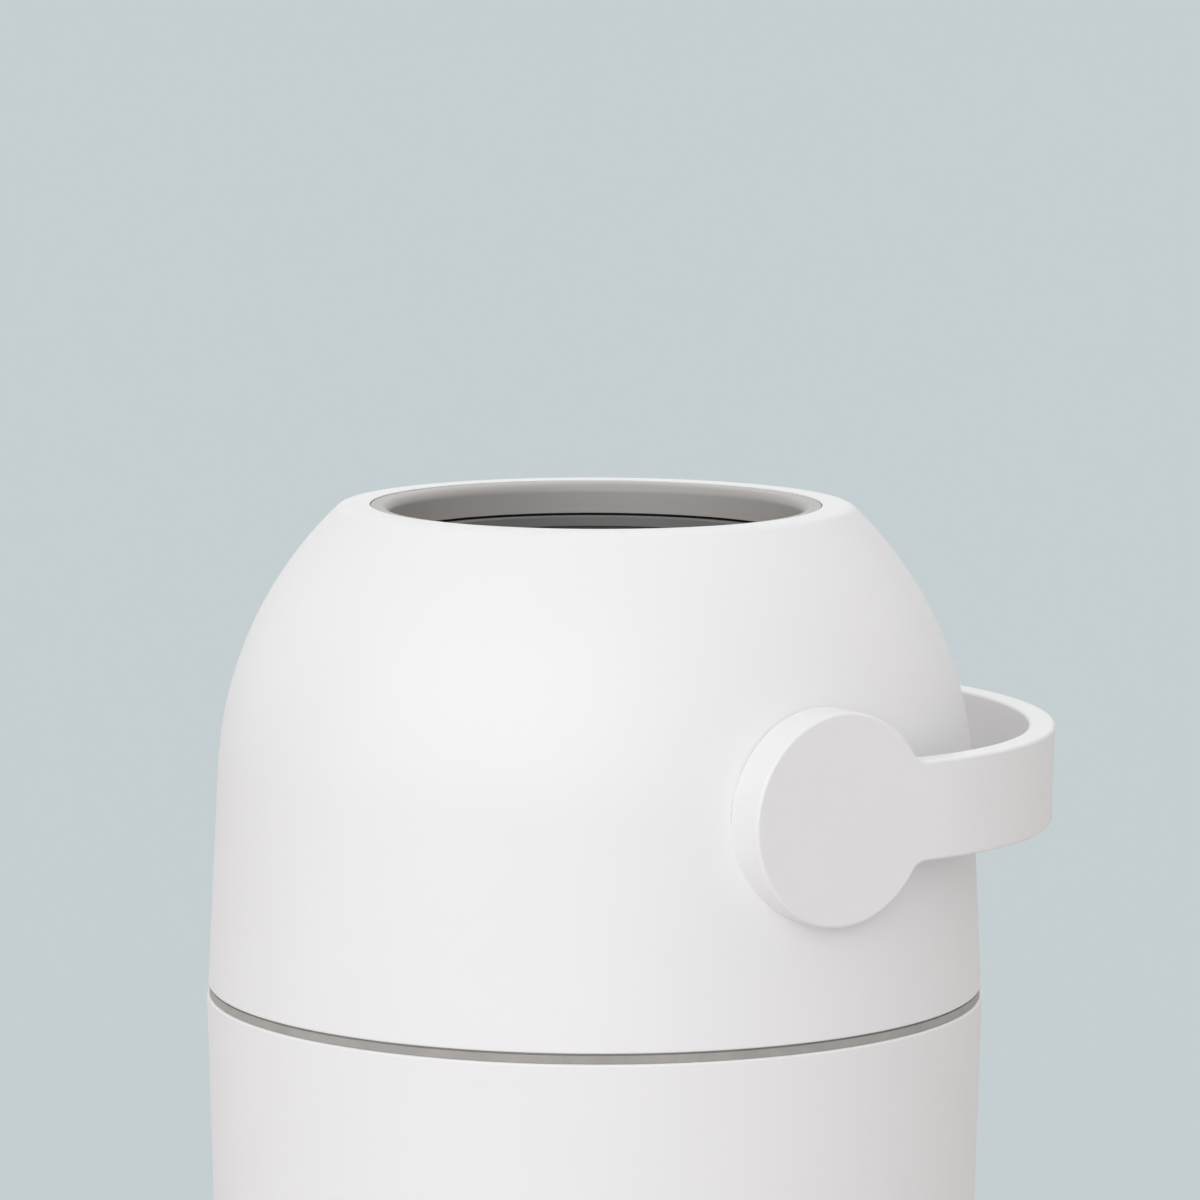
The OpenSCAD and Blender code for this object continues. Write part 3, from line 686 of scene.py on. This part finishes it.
# Soft lights round the bin, the strongest from the camera's side: compass angle from -Y
# towards +X, height angle, strength and colour
SOFTNESS = math.radians(90)
COOL, PLAIN, WARM = (0.99, 0.995, 1.0), (1.0, 0.985, 0.985), (1.0, 0.945, 0.935)
STUDIO = [(-36, 5, 1.42, COOL), (-66, 20, 1.79, COOL), (-136, 5, 0.48, WARM),
          (-186, 45, 0.7, PLAIN), (114, 45, 0.5, PLAIN), (60, 54, 0.93, WARM)]
# Camera: lens and sensor in mm, distance from the bin's axis, height over the dome's lower
# edge, and angles in degrees
LENS, SENSOR, CLIP_END = 187.95, 36, 200
CAMERA_DISTANCE, CAMERA_HEIGHT = 2.0, 0.3726
CAMERA_ANGLE, PITCH_DOWN, SWING, ROLL = (math.radians(v) for v in (36, 7.091, 0.039, 0.172))


def make_floor():
    """A wide plain floor, which the camera sees in the background's own tone."""
    h = FLOOR_HALF
    mesh = bpy.data.meshes.new("floor")
    mesh.from_pydata([(-h, -h, 0), (h, -h, 0), (h, h, 0), (-h, h, 0)], [], [(0, 1, 2, 3)])
    floor = bpy.data.objects.new("floor", mesh)
    bpy.context.scene.collection.objects.link(floor)
    paint = Finish("pale_floor", Roughness=1.0, Specular_IOR_Level=0.0)
    path = paint.nodes.new("ShaderNodeLightPath")
    seen = [tone / light for tone, light in zip(BACKGROUND, FLOOR_LIGHT)] + [1]
    paint.colour(FLOOR_BOUNCE, seen, path.outputs["Is Camera Ray"])
    mesh.materials.append(paint.material)


def make_world():
    """A world that is seen in the background's tone and gives no light of its own."""
    world = bpy.data.worlds.new("studio")
    bpy.context.scene.world = world
    world.use_nodes = True
    nodes, links = world.node_tree.nodes, world.node_tree.links
    nodes.clear()
    dark = node(nodes, "ShaderNodeBackground", Color=(1, 1, 1, 1), Strength=0.0)
    seen = node(nodes, "ShaderNodeBackground", Color=BACKGROUND, Strength=1.0)
    path = node(nodes, "ShaderNodeLightPath")
    direct = node(nodes, "ShaderNodeMath", operation="MAXIMUM")
    either = node(nodes, "ShaderNodeMath", operation="MAXIMUM")
    mix = node(nodes, "ShaderNodeMixShader")
    out = node(nodes, "ShaderNodeOutputWorld")
    links.new(path.outputs["Is Camera Ray"], direct.inputs[0])
    links.new(path.outputs["Is Glossy Ray"], direct.inputs[1])
    links.new(direct.outputs[0], either.inputs[0])
    links.new(path.outputs["Is Transmission Ray"], either.inputs[1])
    links.new(either.outputs[0], mix.inputs["Fac"])
    links.new(dark.outputs[0], mix.inputs[1])
    links.new(seen.outputs[0], mix.inputs[2])
    links.new(mix.outputs[0], out.inputs["Surface"])


def make_sun(name, azimuth, elevation, strength, colour):
    """A soft sun that shines from a compass angle and a height angle."""
    lamp = bpy.data.lights.new(name, "SUN")
    lamp.energy = strength
    lamp.color = colour
    lamp.angle = SOFTNESS
    holder = bpy.data.objects.new(name, lamp)
    bpy.context.scene.collection.objects.link(holder)
    a, e = math.radians(azimuth), math.radians(elevation)
    toward = Vector((math.sin(a) * math.cos(e), -math.cos(a) * math.cos(e), math.sin(e)))
    holder.rotation_euler = toward.to_track_quat("Z", "Y").to_euler()


def make_camera():
    """The photograph's long lens, a little above the mouth, which looks down on the bin."""
    camera = bpy.data.cameras.new("camera")
    camera.lens = LENS
    camera.sensor_width = SENSOR
    camera.clip_end = CLIP_END
    holder = bpy.data.objects.new("camera", camera)
    bpy.context.scene.collection.objects.link(holder)
    holder.location = (-CAMERA_DISTANCE * math.sin(CAMERA_ANGLE),
                       -CAMERA_DISTANCE * math.cos(CAMERA_ANGLE), HEAD_Z + CAMERA_HEIGHT)
    aim = (Matrix.Rotation(-CAMERA_ANGLE - SWING, 3, "Z")
           @ Matrix.Rotation(math.pi / 2 - PITCH_DOWN, 3, "X"))
    holder.rotation_euler = (aim @ Matrix.Rotation(ROLL, 3, "Z")).to_euler()
    bpy.context.scene.camera = holder


make_floor()
make_world()
for i, (azimuth, elevation, strength, colour) in enumerate(STUDIO):
    make_sun(f"soft_light_{i}", azimuth, elevation, strength, colour)
make_camera()
bpy.context.scene.view_settings.view_transform = "Standard"
